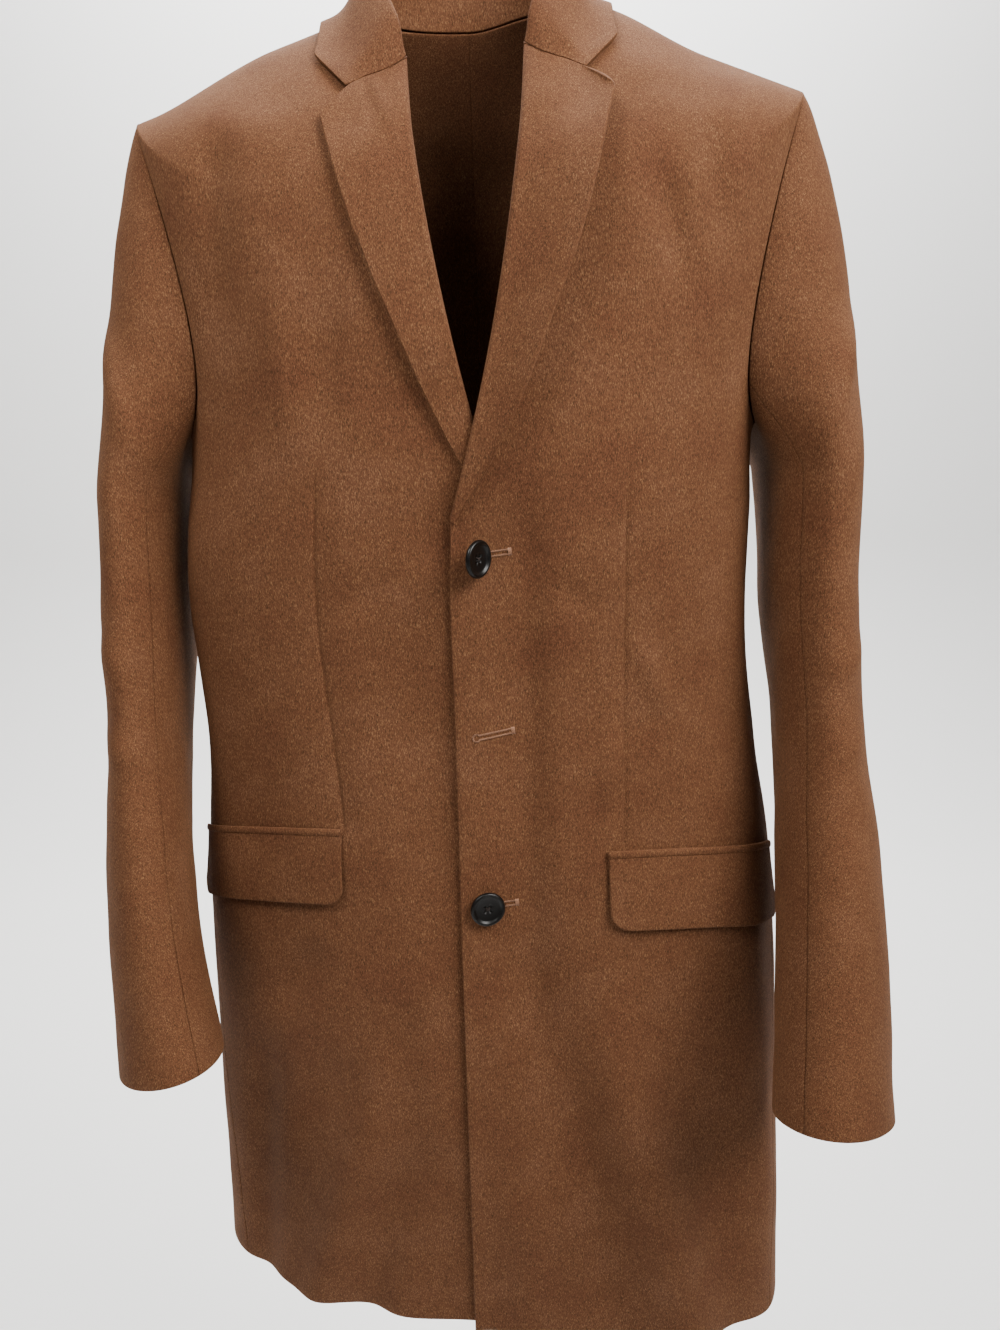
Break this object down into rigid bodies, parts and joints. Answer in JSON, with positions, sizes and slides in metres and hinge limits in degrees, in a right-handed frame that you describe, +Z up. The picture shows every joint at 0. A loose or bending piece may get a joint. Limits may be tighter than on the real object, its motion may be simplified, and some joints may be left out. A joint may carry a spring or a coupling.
{
  "type": "wool overcoat",
  "caption": "Single-breasted wool overcoat with notched lapels, flap pockets and long sleeves, filled out as if worn, hollow inside.",
  "frame": {"origin": "the nape: the middle of the neck seam at the centre back, where the coat rests on its wearer", "axes": "+Z up along the hanging coat, the front faces -Y, +X is the wearer's left"},
  "size_m": [0.5651, 0.3184, 1.0187],
  "materials": {
    "wool_melton": "brushed tobacco-brown wool melton, matt with a soft short nap",
    "button_black": "polished black polyester resin, rimmed and dished, four holes"
  },
  "bodies": {
    "root": {"front_left": "wool_melton", "front_right": "wool_melton", "back_left": "wool_melton", "back_right": "wool_melton", "lapel_left": "wool_melton", "lapel_right": "wool_melton", "collar": "wool_melton", "top_sleeve_left": "wool_melton", "under_sleeve_left": "wool_melton", "top_sleeve_right": "wool_melton", "under_sleeve_right": "wool_melton", "pocket_flap_left": "wool_melton", "pocket_jet_left": "wool_melton", "pocket_flap_right": "wool_melton", "pocket_jet_right": "wool_melton", "button_top": "button_black", "button_bottom": "button_black"}
  },
  "joints": []
}
